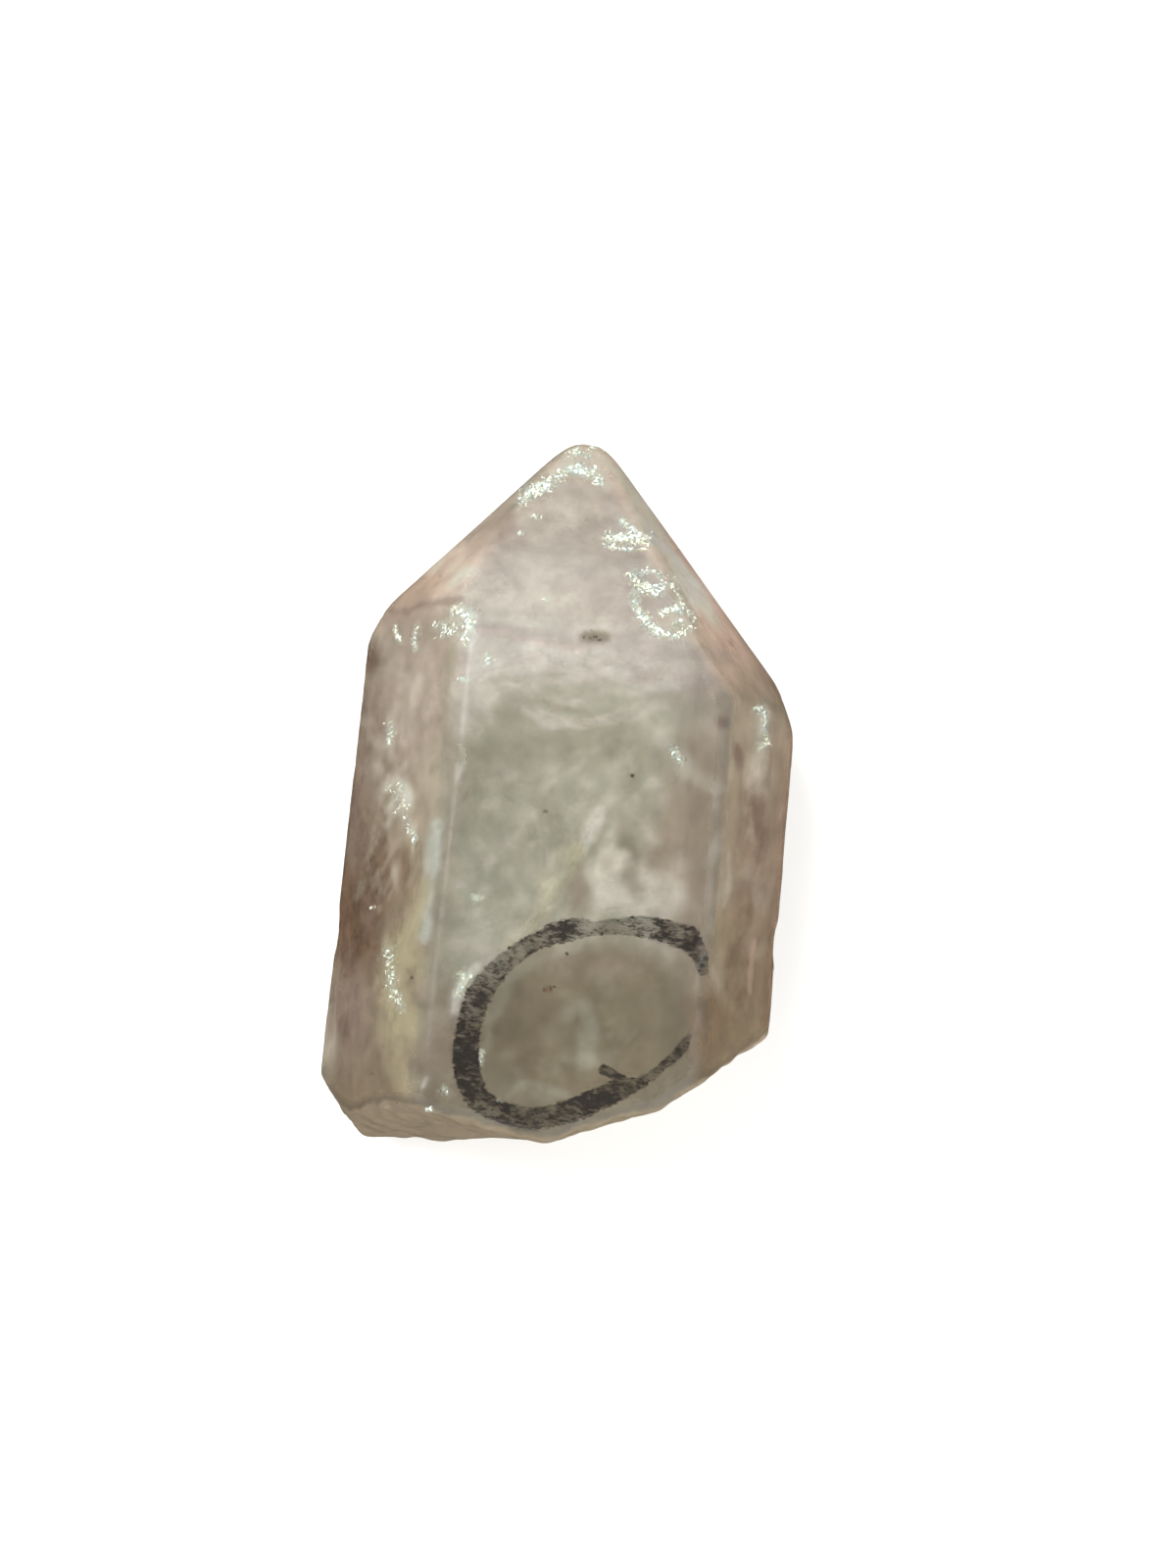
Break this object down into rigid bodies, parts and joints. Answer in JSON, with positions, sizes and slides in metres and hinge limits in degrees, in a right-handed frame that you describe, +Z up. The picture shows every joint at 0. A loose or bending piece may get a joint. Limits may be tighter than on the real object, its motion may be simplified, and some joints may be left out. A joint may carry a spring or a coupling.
{
  "type": "enhydro quartz crystal",
  "caption": "Six-sided quartz point with a worn, chipped tip and a rough broken base, see-through with milky and brown clouds, lying flat on one prism face.",
  "frame": {"origin": "middle of the bounding box across and along, at the height of the face that the crystal rests on", "axes": "+Y along the crystal's long axis, towards its tip; +Z up, out of the broad prism face with the pen ring; +X to the right, seen from above with the tip up"},
  "size_m": [0.0254, 0.0412, 0.0165],
  "materials": {
    "clear_quartz": "see-through warm grey quartz, satin natural faces, frosted at worn edges, with a worn dark pen ring on the upper face",
    "milky_veil": "milky and brown clouds, healed cracks and silvery fractures inside the crystal",
    "mineral_speck": "tiny dull grains of dark brown mineral inside the crystal, just under its faces"
  },
  "bodies": {
    "root": {"quartz_crystal": "clear_quartz"}
  },
  "joints": []
}
